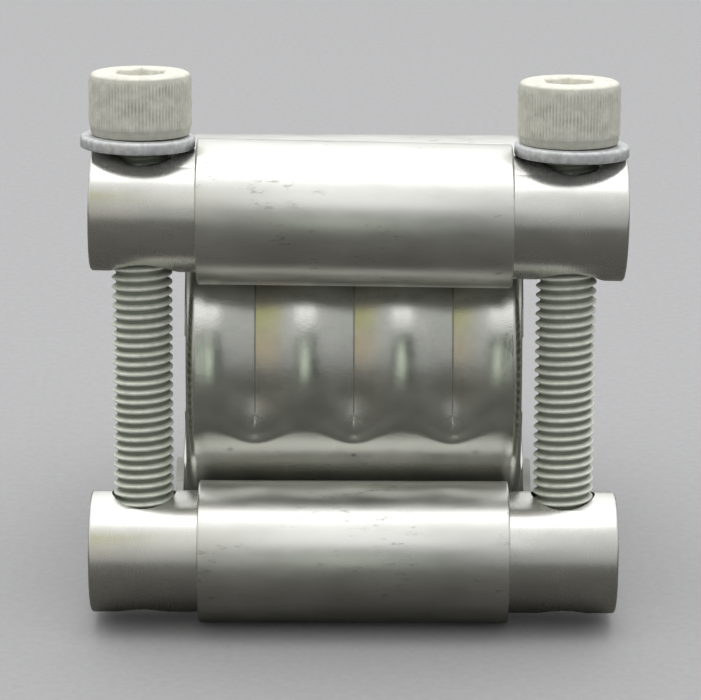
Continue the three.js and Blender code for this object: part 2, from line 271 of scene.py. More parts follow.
def plate_material():
    """Bright pressed sheet, a little hazy, with orange-peel grain on the stretched bulges."""
    n = Nodes("plate_bright_steel")
    haze = n.noise((260, 260, 260), 5)
    peel = n.noise((1500, 1500, 1500), 3)
    grain = n.noise((5000, 5000, 5000), 2)
    pits_and_shade = n.node("ShaderNodeAttribute", attribute_name="pits_and_shade").outputs["Fac"]
    steel = n.mix(n.ramp(haze, 0.35, 0.65, 0.0, 1.0), (0.53, 0.535, 0.495, 1), (0.61, 0.61, 0.57, 1))
    # darkened by the stored share: painted shade in the valleys and behind the loops, and three dark pits
    color = n.mix(n.math("MULTIPLY", pits_and_shade, 0.8), steel, (0.10, 0.10, 0.08, 1))
    rough = n.math("ADD", n.ramp(haze, 0.3, 0.7, 0.18, 0.26), n.math("MULTIPLY", pits_and_shade, 0.3))
    normal = n.bump(grain, 0.00002, 0.6, n.bump(peel, 0.000016, 0.5))
    return n.finish(color, rough, 1.0, normal)


def screw_material():
    """Pale grey-green zinc flake coating, olive on the shank and chalky on the head, with painted shade in
    the thread roots, the knurl's hollows and on the shank just under the washer.
    """
    n = Nodes("screw_zinc_flake")
    mottle = n.noise((900, 900, 900), 6, 0.65)
    cloud = n.noise((260, 260, 260), 3)
    hollow_shade = n.node("ShaderNodeAttribute", attribute_name="hollow_shade").outputs["Fac"]
    shank = n.node("ShaderNodeAttribute", attribute_name="shank").outputs["Fac"]
    speck = n.ramp(n.noise((3600, 3600, 3600), 3), 0.58, 0.7, 0.0, 1.0)
    chalk = n.mix(n.ramp(mottle, 0.35, 0.65, 0.0, 1.0), (0.58, 0.57, 0.50, 1), (0.75, 0.735, 0.66, 1))
    olive = n.mix(n.ramp(mottle, 0.35, 0.65, 0.0, 1.0), (0.62, 0.64, 0.555, 1), (0.79, 0.80, 0.71, 1))
    base = n.mix(shank, chalk, olive)
    worn = n.mix(n.math("MULTIPLY", speck, 0.5), base, (0.36, 0.38, 0.33, 1))
    # painted shade: darkens the thread roots, the knurl's hollows and the shank under the washer
    color = n.mix(n.math("MULTIPLY", hollow_shade, 0.88), worn, (0.11, 0.13, 0.09, 1))
    rough = n.ramp(cloud, 0.3, 0.7, 0.48, 0.62)
    normal = n.bump(mottle, 0.00008, 0.6)
    return n.finish(color, rough, 0.15, normal)


def washer_material():
    """Dull blue-white zinc plate with dark nicks at the rim."""
    n = Nodes("washer_zinc")
    mottle = n.noise((1200, 1200, 1200), 5)
    nick = n.ramp(n.noise((1500, 1500, 1500), 6, 0.7), 0.62, 0.72, 0.0, 1.0)
    base = n.mix(n.ramp(mottle, 0.35, 0.65, 0.0, 1.0), (0.45, 0.455, 0.465, 1), (0.64, 0.645, 0.655, 1))
    color = n.mix(n.math("MULTIPLY", nick, 0.6), base, (0.25, 0.25, 0.25, 1))
    normal = n.bump(mottle, 0.00005, 0.5)
    return n.finish(color, n.ramp(mottle, 0.3, 0.7, 0.42, 0.55), 0.55, normal)


def ring_material():
    """Hardened spring steel of the toothed rings."""
    n = Nodes("anchor_spring_steel")
    rub = n.noise((700, 700, 700), 5)
    color = n.mix(n.ramp(rub, 0.35, 0.65, 0.0, 1.0), (0.36, 0.35, 0.33, 1), (0.47, 0.46, 0.44, 1))
    return n.finish(color, n.ramp(rub, 0.3, 0.7, 0.28, 0.4), 1.0, n.bump(rub, 0.00003, 0.4))


def rubber_material():
    """Black moulded rubber with a fine mould grain and grey bloom."""
    n = Nodes("sleeve_black_rubber")
    grain = n.noise((2500, 2500, 2500), 4)
    bloom = n.noise((300, 300, 300), 5)
    color = n.mix(n.ramp(bloom, 0.35, 0.7, 0.0, 1.0), (0.014, 0.014, 0.015, 1), (0.035, 0.035, 0.036, 1))
    return n.finish(color, n.ramp(bloom, 0.3, 0.7, 0.5, 0.7), 0.0, n.bump(grain, 0.00004, 0.5))


def floor_material(name, color):
    n = Nodes(name)
    grain = n.noise((900, 900, 900), 4)
    light = tuple(0.96 * c for c in color) + (1,)
    dark = tuple(1.04 * c for c in color) + (1,)
    shade = n.mix(n.ramp(grain, 0.3, 0.7, 0.0, 1.0), light, dark)
    return n.finish(shade, 0.85, 0.0, n.bump(grain, 0.0001, 0.15))


def card_material(name, color):
    """A wall or window of the room, glowing with the brightness that the metal mirrors."""
    n = Nodes(name)
    cloud = n.noise((30, 30, 30), 3)
    dim = tuple(0.85 * c for c in color) + (1,)
    bright = tuple(1.15 * c for c in color) + (1,)
    n.link(n.mix(n.ramp(cloud, 0.3, 0.7, 0.0, 1.0), dim, bright), n.bsdf.inputs["Emission Color"])
    n.bsdf.inputs["Emission Strength"].default_value = 1.0
    n.bsdf.inputs["Base Color"].default_value = (0, 0, 0, 1)
    n.bsdf.inputs["Roughness"].default_value = 1.0
    return n.material


# ---- Mesh helpers ----

def grid_faces(rows, columns, wrap_rows=False, wrap_columns=False):
    """Quads of a grid of points numbered row by row."""
    faces = []
    for i in range(rows if wrap_rows else rows - 1):
        for j in range(columns if wrap_columns else columns - 1):
            k, m = (i + 1) % rows, (j + 1) % columns
            faces.append((i * columns + j, i * columns + m, k * columns + m, k * columns + j))
    return faces


def smooth_step(value):
    share = np.clip(value, 0, 1)
    return share * share * (3 - 2 * share)


class Shape:
    """Points in the coupling's frame and the faces that join them, gathered from several surfaces."""

    def __init__(self):
        self.points = []
        self.faces = []

    def grid(self, points, wrap_rows=False, wrap_columns=False, cap_rows=False):
        rows, columns = points.shape[:2]
        start = len(self.points)
        self.points.extend(points.reshape(-1, 3))
        for face in grid_faces(rows, columns, wrap_rows, wrap_columns):
            self.faces.append([start + i for i in face])
        if cap_rows:
            self.faces.append([start + j for j in range(columns)])
            self.faces.append([start + (rows - 1) * columns + j for j in range(columns)])
        return self

    def build(self, name, material, sharp_deg=35.0):
        mesh = bpy.data.meshes.new(name)
        bm = bmesh.new()
        verts = [bm.verts.new(TO_ROW @ Vector(p)) for p in self.points]
        for face in self.faces:
            bm.faces.new([verts[i] for i in face])
        bmesh.ops.remove_doubles(bm, verts=bm.verts, dist=1e-7)
        bmesh.ops.dissolve_degenerate(bm, edges=bm.edges, dist=1e-8)
        bmesh.ops.recalc_face_normals(bm, faces=bm.faces)
        for face in bm.faces:
            face.smooth = True
        bm.to_mesh(mesh)
        bm.free()
        mesh.set_sharp_from_angle(angle=math.radians(sharp_deg))
        mesh.materials.append(material)
        made = bpy.data.objects.new(name, mesh)
        bpy.context.scene.collection.objects.link(made)
        return made


def arc(centre, radius, start, end, step_deg=3.0):
    """Points of an arc in a plane, ends included; angles in radians."""
    count = max(1, math.ceil(abs(end - start) / math.radians(step_deg)))
    angle = np.linspace(start, end, count + 1)
    return np.stack([centre[0] + radius * np.cos(angle), centre[1] + radius * np.sin(angle)], 1)


def polar(radius, angle):
    """A point (y, z) at an angle up from the middle of the slit."""
    return np.array([-radius * math.cos(angle), radius * math.sin(angle)])


def turned(profile, steps, place, start=0.0, end=FULL_TURN):
    """Profile rows (radius, height) turned into a grid; place(radius, height, angle) gives the points."""
    closed = abs(end - start) > FULL_TURN - 1e-6
    angle = np.linspace(start, end, steps, endpoint=not closed)
    rows = [place(np.full_like(angle, r), np.full_like(angle, h), angle) for r, h in profile]
    return np.array(rows)


def about_pipe(radius, along, angle):
    return np.stack([along, -radius * np.cos(angle), radius * np.sin(angle)], -1)


def upright_at(x, y, z):
    def place(radius, height, angle):
        return np.stack([x + radius * np.cos(angle), y + radius * np.sin(angle), z + height], -1)
    return place


def store(mesh, name, values):
    """Keeps one number for each point of a mesh, for its material to read."""
    layer = mesh.attributes.new(name, "FLOAT", "POINT")
    layer.data.foreach_set("value", values.astype(np.float32))


def cut(target, *cutters):
    """Cuts the cutters out of the target and removes them."""
    for cutter in cutters:
        modifier = target.modifiers.new("cut", "BOOLEAN")
        modifier.operation = "DIFFERENCE"
        modifier.solver = "EXACT"
        modifier.object = cutter
    bpy.context.view_layer.update()
    graph = bpy.context.evaluated_depsgraph_get()
    mesh = bpy.data.meshes.new_from_object(target.evaluated_get(graph))
    target.modifiers.clear()
    target.data = mesh
    for cutter in cutters:
        bpy.data.objects.remove(cutter)
    mesh.set_sharp_from_angle(angle=math.radians(35))
    return target


# ---- The band ----

def channel_outline():
    """Closed outline (radius, along the pipe) of the band's channel section."""
    half = BAND_WIDTH / 2
    centre_r, centre_x = BAND_OUTER_R - BAND_CORNER_R, half - BAND_CORNER_R
    corner = arc((centre_r, centre_x), BAND_CORNER_R, math.pi / 2, 0, 9)
    inside = arc((centre_r, centre_x), BAND_CORNER_R - SHEET, 0, math.pi / 2, 9)
    lip = arc((FLANGE_LIP_R, half - SHEET / 2), SHEET / 2, 1.5 * math.pi, 0.5 * math.pi, 30)
    right = np.concatenate([inside, lip, corner])
    left = np.stack([right[::-1, 0], -right[::-1, 1]], 1)
    return np.concatenate([right, left])


def channel_grid():
    start = math.radians(FLANGE_END_DEG)
    angles = np.linspace(start, 2 * math.pi - start, 190)
    outline = channel_outline()
    rows = [about_pipe(outline[:, 0], outline[:, 1], np.full(len(outline), a)) for a in angles]
    return np.array(rows)


def tongue_path():
    """Mid line (y, z) of the sheet from the channel's end, round the bar and back onto the band."""
    reach = BAND_MID_R + LOOP_MID_R
    bar = np.array([BAR_UPPER.y, BAR_UPPER.z])
    bar_angle = math.atan2(bar[1], -bar[0])
    flap_r = BAND_OUTER_R + SHEET / 2 + FLAP_GAP
    to_bend = flap_r + FLAP_BEND_R
    bar_to_bend = LOOP_MID_R + FLAP_BEND_R
    swing = math.acos((to_bend**2 + reach**2 - bar_to_bend**2) / (2 * to_bend * reach))
    landing = bar_angle + swing
    bend = polar(to_bend, landing)
    from_bar = math.atan2(bend[1] - bar[1], bend[0] - bar[0])
    touch = math.atan2(-bar[1], -bar[0])
    bend_start = math.atan2(bar[1] - bend[1], bar[0] - bend[0]) % FULL_TURN
    bend_end = math.atan2(-bend[1], -bend[0]) + FULL_TURN
    flap_end = landing + math.radians(FLAP_DEG)
    wall = arc((0, 0), BAND_MID_R, math.pi - math.radians(FLANGE_END_DEG), math.pi - bar_angle)
    loop = arc(bar, LOOP_MID_R, touch, from_bar - FULL_TURN)
    turn = arc(bend, FLAP_BEND_R, bend_start, bend_end)
    flap = arc((0, 0), flap_r, math.pi - landing, math.pi - flap_end)
    return np.concatenate([wall, loop[1:], turn[1:], flap[1:]])


def strip_grid(path, width, thickness, edge):
    """A rounded strip swept along a (y, z) path."""
    tangent = np.gradient(path, axis=0)
    tangent /= np.linalg.norm(tangent, axis=1)[:, None]
    normal = np.stack([-tangent[:, 1], tangent[:, 0]], 1)
    half_w, half_t = width / 2 - edge, thickness / 2 - edge
    corners = [(half_w, half_t, 0), (-half_w, half_t, 1), (-half_w, -half_t, 2), (half_w, -half_t, 3)]
    section = np.concatenate([
        arc((x, t), edge, q * math.pi / 2, (q + 1) * math.pi / 2, 30) for x, t, q in corners
    ])
    rows = []
    for at, across in zip(path, normal):
        yz = at + section[:, 1:2] * across
        rows.append(np.column_stack([section[:, 0], yz]))
    return np.array(rows)


def leant(tongue):
    """The upper loop leans with its bar, and the sheet stays level where it meets the ring."""
    clear = np.hypot(tongue[:, :, 1], tongue[:, :, 2]) - BAND_OUTER_R - SHEET
    share = smooth_step(clear / LOOP_LEAN_RUN)
    tongue[:, :, 2] -= tongue[:, :, 0] * math.tan(math.radians(BAR_TILT_DEG)) * share
    return tongue


def weld_angle():
    """Angle of the flap's middle, where it is spot welded to the band."""
    end = tongue_path()[-1]
    return math.atan2(end[1], -end[0]) - math.radians(FLAP_DEG / 2)


def add_weld_spots(shape, angle):
    """A row of shallow round electrode marks, standing just proud of the flap."""
    face_r = BAND_OUTER_R + SHEET + FLAP_GAP
    across = np.array([0, math.sin(angle), math.cos(angle)])
    outward = np.array([0, -math.cos(angle), math.sin(angle)])
    turn = np.linspace(0, FULL_TURN, 48, endpoint=False)
    for spot in range(WELD_COUNT):
        x = (spot - (WELD_COUNT - 1) / 2) * WELD_PITCH
        centre = np.array([x, 0, 0]) + outward * face_r
        circle = np.outer(np.cos(turn), [1, 0, 0]) + np.outer(np.sin(turn), across)
        rows = [centre + circle * r + outward * h for r, h in WELD_PROFILE]
        shape.grid(np.array(rows), wrap_columns=True, cap_rows=True)


def make_band():
    shape = Shape()
    shape.grid(channel_grid(), wrap_columns=True, cap_rows=True)
    tongue = strip_grid(tongue_path(), TONGUE_WIDTH, SHEET, TONGUE_EDGE_R)
    lower = tongue.copy()
    lower[:, :, 2] *= -1
    shape.grid(lower, wrap_columns=True, cap_rows=True)
    shape.grid(leant(tongue), wrap_columns=True, cap_rows=True)
    add_weld_spots(shape, weld_angle())
    add_weld_spots(shape, -weld_angle())
    band = shape.build("band", band_material())
    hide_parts("casing_lower", "casing_upper")
    across_hinge(band)


def across_hinge(piece):
    """Bakes the piece's placement into its mesh."""
    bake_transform(piece)


# ---- Lock bars ----

def bar_profile():
    """Outline (radius, along the bar) from the middle of one end to the middle of the other."""
    half = BAR_LENGTH / 2
    edge = [(BAR_CHAMFER, 0), (0.23, 0.02), (0.03, 0.22), (0, BAR_CHAMFER)]
    start = [(BAR_R - drop, -half + step) for drop, step in edge]
    end = [(BAR_R - drop, half - step) for drop, step in reversed(edge)]
    return [(0, -half), *start, *end, (0, half)]


def make_bar(name, centre, hole_r, body, material, tilt_deg=0.0):
    """A round bar with soft end edges and two holes across it for the screws."""
    tilt = np.array(Matrix.Rotation(math.radians(tilt_deg), 3, "Y"))

    def place(radius, height, angle):
        return about_pipe(radius, height, angle) @ tilt.T + np.array(centre)

    bar = Shape().grid(turned(bar_profile(), 200, place), wrap_columns=True).build(name, material)
    drills = []
    for side in (-1, 1):
        column = [(0, -DRILL_REACH), (hole_r, -DRILL_REACH), (hole_r, DRILL_REACH), (0, DRILL_REACH)]
        drill = turned(column, 96, upright_at(side * SCREW_X, 0, 0)) @ tilt.T + np.array(centre)
        drills.append(Shape().grid(drill, wrap_columns=True).build("drill", material))
    cut(bar, *drills)
    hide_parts(name)
    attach(bar, body)


# ---- Screws and washers ----

def thread_section():
    """One turn of the thread's outline: share of the pitch and radius."""
    crest, root = THREAD_CREST_R, THREAD_ROOT_R
    return [
        (0.0, root), (0.12, root), (0.40, crest - 0.05), (0.44, crest), (0.56, crest),
        (0.60, crest - 0.05), (0.88, root),
    ]


def thread_grid(x, y, bearing_z):
    """The threaded shank below a bearing face, as a helical grid."""
    tip_z = -SCREW_LENGTH
    section = thread_section()
    turns = math.ceil(SCREW_LENGTH / THREAD_PITCH) + 2
    angle = np.linspace(0, FULL_TURN, 57)
    rows = []
    for turn in range(-turns, 1):
        for share, radius in section:
            z = (turn + share + angle / FULL_TURN) * THREAD_PITCH
            r = np.where(z > -0.4, THREAD_ROOT_R, radius)
            z = np.clip(z, tip_z, 0.05)
            r = np.minimum(r, THREAD_CREST_R - 1.0 + (z - tip_z))
            rows.append(np.stack([x + r * np.cos(angle), y + r * np.sin(angle), bearing_z + z], -1))
    return np.array(rows)


def head_foot():
    """Outline (radius, height) of the head's lower edge."""
    return [
        (3.2, 0.0), (HEAD_R - 0.42, 0.0), (HEAD_R - 0.3, 0.05), (HEAD_R - 0.17, 0.25),
        (HEAD_R - 0.13, 0.5), (HEAD_R - 0.12, 1.0),
    ]


def head_rim():
    """Outline (radius, height) of the head's rounded upper edge and flat top."""
    top = HEAD_HEIGHT
    return [
        (HEAD_R - 0.02, top - 0.75), (HEAD_R - 0.12, top - 0.42), (HEAD_R - 0.34, top - 0.17),
        (HEAD_R - 0.66, top - 0.03), (HEAD_R - 0.95, top), (3.9, top),
    ]


def knurl_rings(angle, phase):
    """Rings (radii, height) of the knurled side, worn unevenly; phase makes each head its own."""
    ridge = np.abs(((angle * KNURL_COUNT / FULL_TURN) % 1) * 2 - 1) - 0.5
    rings = []
    for z in np.linspace(1.25, HEAD_HEIGHT - 1.0, 16):
        fade = min(1.0, (z - 1.1) / 0.35, (HEAD_HEIGHT - 0.85 - z) / 0.35)
        wear = 0.62 + 0.22 * np.sin(3 * angle + 1.7 * z) + 0.16 * np.sin(7 * angle - 2.3 * z + phase)
        rings.append((HEAD_R + KNURL_DEPTH * fade * ridge * wear, z))
    return rings


def socket_rings(angle):
    """Rings (radii, height) from the socket's chamfered mouth to its conical floor."""
    top = HEAD_HEIGHT
    turned_hex = (angle + math.pi / 2) % (math.pi / 3) - math.pi / 6
    hexagon = SOCKET_FLAT_R / np.cos(turned_hex)
    mouth = np.full_like(angle, SOCKET_MOUTH_R)
    return [
        (mouth, top - 0.01),
        (np.minimum(mouth, hexagon + 0.12), top - 0.12),
        (hexagon, top - 0.3),
        (hexagon, top - SOCKET_DEPTH),
        (np.full_like(angle, 2.7), top - SOCKET_DEPTH - 0.05),
        (np.full_like(angle, 0.02), top - SOCKET_DEPTH - 1.2),
    ]


def head_grid(x, y, bearing_z):
    """Knurled head with a hex socket, as one turned grid from under the head to the socket's floor."""
    angle = np.linspace(0, FULL_TURN, KNURL_COUNT * 6, endpoint=False)
    rings = [(np.full_like(angle, r), z) for r, z in head_foot()]
    rings += knurl_rings(angle, x)
    rings += [(np.full_like(angle, r), z) for r, z in head_rim()]
    rings += socket_rings(angle)
    return np.array([
        np.stack([x + r * np.cos(angle), y + r * np.sin(angle), np.full_like(angle, bearing_z + z)], -1)
        for r, z in rings
    ])


def make_screw(label, material):
    name = f"screw_{label}"
    x = (TO_LOCAL @ box_centre(name)).x
    washer = TO_LOCAL @ box_centre(f"washer_{label}")
    bearing_z = washer.z + WASHER_THICKNESS / 2 + HEAD_GAP
    shape = Shape()
    shape.grid(thread_grid(x, BAR_UPPER.y, bearing_z))
    shape.grid(head_grid(x, BAR_UPPER.y, bearing_z), wrap_columns=True, cap_rows=True)
    screw = shape.build(name, material, 50)
    paint_hollow_shade(screw, x)
    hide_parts(name)
    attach(screw, name)


def paint_hollow_shade(screw, x):
    """Stores how deep each point lies in the thread or the knurl as painted shade for the coating, with
    the shank just under the washer fully shaded; also stores which points lie on the shank.
    """
    mesh = screw.data
    points = np.array([TO_LOCAL @ v.co for v in mesh.vertices])
    radius = np.hypot(points[:, 0] - x, points[:, 1] - BAR_UPPER.y)
    in_shank = points[:, 2] < points[:, 2].max() - HEAD_HEIGHT - 0.2
    shank = np.clip((THREAD_CREST_R - radius) / (THREAD_CREST_R - THREAD_ROOT_R), 0, 1)
    # painted shade: the shank just under the head lies in the washer's shade and is fully darkened
    shank = np.maximum(shank, points[:, 2] > points[:, 2].max() - HEAD_HEIGHT - 3.5)
    knurl = np.clip((HEAD_R + KNURL_DEPTH / 3 - radius) / (KNURL_DEPTH * 0.8), 0, 1)
    on_side = (radius > HEAD_R - KNURL_DEPTH) & ~in_shank
    depth = np.where(in_shank, shank, np.where(on_side, knurl * 0.42, 0))
    store(mesh, "hollow_shade", depth)
    store(mesh, "shank", in_shank)


def make_washer(label, material):
    name = f"washer_{label}"
    centre = TO_LOCAL @ box_centre(name)
    edge = 0.22
    low, high = -WASHER_THICKNESS / 2, WASHER_THICKNESS / 2
    profile = [
        (WASHER_HOLE_R, low + edge), (WASHER_HOLE_R + 0.1, low + 0.03), (WASHER_HOLE_R + edge, low),
        (WASHER_R - edge, low), (WASHER_R - 0.07, low + 0.07), (WASHER_R, low + edge),
        (WASHER_R, high - 0.45), (WASHER_R - 0.1, high - 0.18), (WASHER_R - 0.35, high - 0.03),
        (WASHER_R - 0.6, high), (WASHER_HOLE_R + edge, high), (WASHER_HOLE_R, high - edge),
    ]
    tilt = np.array(Matrix.Rotation(math.radians(BAR_TILT_DEG), 3, "Y"))
    ring = turned(profile, 120, upright_at(0, 0, 0)) @ tilt.T + np.array(centre)
    washer = Shape().grid(ring, wrap_rows=True, wrap_columns=True).build(name, material, 60)
    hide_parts(name)
    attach(washer, name)


# ---- Bridging plate ----

def depth_in_field(x, angle):
    """Distance from the fluted field's wavy end line, along the plate."""
    low, high = math.radians(FLUTE_LOW_DEG), math.radians(FLUTE_HIGH_DEG)
    to_end = PLATE_OUTER_R * np.minimum(angle - low, high - angle)
    return to_end - FLUTE_WAVE * np.sin(math.pi * x / FLUTE_PITCH) ** 2


def plate_pits_and_shade(x, angle):
    """Share of painted shade along the valleys, at their forked ends and behind the loops where the sheet
    runs in, plus three dark pits.
    """
    from_valley = np.abs(x - FLUTE_PITCH * np.round(x / FLUTE_PITCH))
    in_field = depth_in_field(x, angle)
    past_fork = FORK_RUN - in_field
    # painted shade: a thin dark line down each valley and along the arms of its forked end
    valley = np.exp(-((from_valley / VALLEY_HALF_WIDTH) ** 2)) * smooth_step(-past_fork / 0.3)
    arm = np.exp(-(((from_valley - past_fork) / FORK_HALF_WIDTH) ** 2))
    arm = arm * (past_fork > 0) * smooth_step(1.5 - past_fork)
    pits_and_shade = (valley + 0.5 * arm) * (np.abs(x) < 1.4 * FLUTE_PITCH)
    for pit_x, pit_deg, depth in PLATE_PITS:
        along = (angle - math.radians(pit_deg)) * PLATE_OUTER_R
        spread = ((x - pit_x) / PIT_HALF_WIDTH) ** 2 + (along / PIT_HALF_HEIGHT) ** 2
        pits_and_shade = pits_and_shade + depth * np.exp(-spread)
    # painted shade behind the loops, fading in past these angles
    degrees = np.degrees(angle)
    behind = np.maximum(LOOP_SHADE_LOW_DEG - degrees, degrees - LOOP_SHADE_HIGH_DEG)
    return np.clip(pits_and_shade + LOOP_SHADE_SHARE * smooth_step(behind / LOOP_SHADE_RUN_DEG), 0, 1)


def plate_sink(x, angle):
    """How far the plate's face lies inside its radius.

    The fluted field is pressed in, with a sharp valley at every pitch that runs out in a bowl at each end,
    and the side edges curl in.
    """
    ridge = np.abs(np.sin(math.pi * x / FLUTE_PITCH))
    in_field = depth_in_field(x, angle)
    dull = 0.10 * (1 - smooth_step((in_field - 0.3) / FORK_RUN))
    valley = np.sqrt(ridge**2 + dull**2) - 0.25 * dull
    flute = FLUTE_DEPTH * (1 - np.minimum(valley, 1)) * smooth_step(in_field / FLUTE_RUNOUT)
    flute = np.where(np.abs(x) > 1.5 * FLUTE_PITCH, 0, flute)
    field = FLUTE_SINK * smooth_step(in_field / (FLUTE_STEP * (1 + 1.3 * ridge**2)))
    past = np.clip(np.abs(x) - (PLATE_WIDTH / 2 - PLATE_EDGE_R), 0, None) / PLATE_EDGE_R
    return field + flute + PLATE_EDGE_R * (1 - np.sqrt(1 - np.minimum(1, past * 0.96) ** 2))


def make_plate():
    half = PLATE_WIDTH / 2
    curl = half - PLATE_EDGE_R * (1 - np.sin(np.linspace(0, math.pi / 2, 15)))
    middle = np.linspace(-half + PLATE_EDGE_R, half - PLATE_EDGE_R, 401)
    xs = np.concatenate([-curl[::-1][:-1], middle, curl[1:]])
    angles = np.radians(np.concatenate([
        np.linspace(PLATE_LOW_DEG, FLUTE_LOW_DEG - 6, 24),
        np.linspace(FLUTE_LOW_DEG - 5, FLUTE_LOW_DEG + 10, 80),
        np.linspace(FLUTE_LOW_DEG + 11, FLUTE_HIGH_DEG - 10, 50),
        np.linspace(FLUTE_HIGH_DEG - 9, FLUTE_HIGH_DEG, 30),
        np.linspace(FLUTE_HIGH_DEG + 1, PLATE_HIGH_DEG, 10),
    ]))
    x, angle = np.meshgrid(xs, angles)
    radius = PLATE_OUTER_R - plate_sink(x, angle)
    outer = about_pipe(radius, x, angle)
    inner = about_pipe(radius - PLATE_THICKNESS, x, angle)
    section = np.concatenate([outer, inner[:, ::-1]], 1)
    shape = Shape().grid(section, wrap_columns=True, cap_rows=True)
    plate = shape.build("bridge_plate", plate_material(), 60)
    points = np.array([TO_LOCAL @ v.co for v in plate.data.vertices])
    # stores the painted shade of the valleys and behind the loops, and the pits, for the plate's colour
    pits_and_shade = plate_pits_and_shade(points[:, 0], np.arctan2(points[:, 2], -points[:, 1]))
    store(plate.data, "pits_and_shade", pits_and_shade)
    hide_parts("bridge_plate")
    across_hinge(plate)


# ---- Sleeve and anchor rings ----

def sleeve_inside(half):
    """Inner outline (radius, along the pipe) of one half of the sleeve: end, lip and pressure channel."""
    return [
        (24.0, half), (22.0, half), (21.0, half - 0.2), (19.2, half - 1.6), (18.2, half - 3.4),
        (SLEEVE_LIP_R + 0.1, half - 5.3), (SLEEVE_LIP_R, half - 5.8), (SLEEVE_LIP_R, half - 7.2),
        (SLEEVE_LIP_R + 0.5, half - 7.3), (19.6, half - 6.2), (21.0, half - 5.4), (21.4, half - 5.8),
        (21.4, 1.5), (21.1, 0.6), (21.1, 0),
    ]


def make_sleeve():
    half = SLEEVE_HALF_WIDTH
    right = sleeve_inside(half)
    inside = right + [(r, -x) for r, x in right[-2::-1]]
    angle = np.linspace(0, FULL_TURN, 240, endpoint=False)
    degrees = np.degrees((angle + math.pi) % FULL_TURN - math.pi)
    into = np.clip(np.minimum(degrees - PLATE_LOW_DEG + 3, PLATE_HIGH_DEG + 3 - degrees) / 2, 0, 1)
    outer = SLEEVE_OUTER_R - (SLEEVE_OUTER_R - SLEEVE_RECESS_R) * into
    rows = [about_pipe(np.full_like(angle, r), np.full_like(angle, x), angle) for r, x in inside]
    rounding = [(0.9, half), (0.25, half - 0.25), (0, half - 0.9)]
    for drop, x in [(drop, -x) for drop, x in rounding] + rounding[::-1]:
        rows.append(about_pipe(outer - drop, np.full_like(angle, x), angle))
    sleeve = Shape().grid(np.array(rows), wrap_rows=True, wrap_columns=True)
    sleeve = sleeve.build("sealing_sleeve", rubber_material(), 45)
    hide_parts("sealing_sleeve")
    across_hinge(sleeve)


def make_anchor_ring(side, name, material):
    """A split conical ring with slots between its teeth, which lean in towards the pipe."""
    back = [(23.4, 22.35), (22.3, 22.3), (22.0, 21.2), (23.4, 21.3)]
    blade = [(22.5, 22.2), (18.0, 17.55), (17.95, 17.35), (18.55, 16.75), (18.7, 16.85), (22.6, 20.9)]
    gap = math.asin(ANCHOR_HALF_SLIT / ANCHOR_BACK_R)
    pitch = FULL_TURN / ANCHOR_TEETH

    def place(radius, height, angle):
        return about_pipe(radius, side * height, angle)

    def sector(profile, start, end, steps):
        grid = turned(profile, steps, place, start, end)
        return np.swapaxes(grid, 0, 1)

    shape = Shape()
    shape.grid(sector(back, gap, FULL_TURN - gap, 200), wrap_columns=True, cap_rows=True)
    for tooth in range(ANCHOR_TEETH):
        start = max(tooth * pitch + ANCHOR_SLOT, gap)
        end = min((tooth + 1) * pitch - ANCHOR_SLOT, FULL_TURN - gap)
        shape.grid(sector(blade, start, end, 12), wrap_columns=True, cap_rows=True)
    ring = shape.build(name, material, 30)
    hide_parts(name)
    across_hinge(ring)


# ---- Studio ----

CARD_AIM_HEIGHT = 0.035
DOME_STRENGTH = 2.3
BEHIND_SHARE = 1.35
FRONT_SIDE_SHARE = 0.62
FLOOR_PALE = (0.36, 0.355, 0.365)
FLOOR_REFLECTED = (0.070, 0.068, 0.061)
DOME_LEVELS = ((0.0, 0.29), (1.0, 0.62), (0.42, 0.46), (0.70, 0.60), (0.88, 0.65))


def floor_plane(name, color, height):
    bm = bmesh.new()
    bmesh.ops.create_grid(bm, x_segments=8, y_segments=8, size=8.0)
    bmesh.ops.translate(bm, verts=bm.verts, vec=(0, 0, height))
    mesh = bpy.data.meshes.new(name)
    bm.to_mesh(mesh)
    bm.free()
    mesh.materials.append(floor_material(name, color))
    plane = bpy.data.objects.new(name, mesh)
    bpy.context.scene.collection.objects.link(plane)
    return plane


def only_in_reflections(thing):
    for ray in ("camera", "diffuse", "shadow", "transmission", "volume_scatter"):
        setattr(thing, f"visible_{ray}", False)


def make_floor():
    """A pale floor, and a darker one that only the metal's reflections see, as on a dark bench."""
    floor = floor_plane("floor", FLOOR_PALE, 0.0)
    floor.visible_glossy = False
    mirrored = floor_plane("floor_in_reflections", FLOOR_REFLECTED, 0.0001)
    only_in_reflections(mirrored)


def area_light(name, where, target, size_x, size_y, watts):
    light = bpy.data.lights.new(name, "AREA")
    light.shape = "RECTANGLE"
    light.size, light.size_y = size_x, size_y
    light.energy = watts
    lamp = bpy.data.objects.new(name, light)
    lamp.location = where
    lamp.rotation_euler = (Vector(target) - Vector(where)).to_track_quat("-Z", "Y").to_euler()
    bpy.context.scene.collection.objects.link(lamp)


def map_range(tree, value, low, high, start, end):
    made = tree.nodes.new("ShaderNodeMapRange")
    made.interpolation_type = "SMOOTHSTEP"
    tree.links.new(value, made.inputs["Value"])
    for key, setting in (("From Min", low), ("From Max", high), ("To Min", start), ("To Max", end)):
        made.inputs[key].default_value = setting
    return made.outputs["Result"]


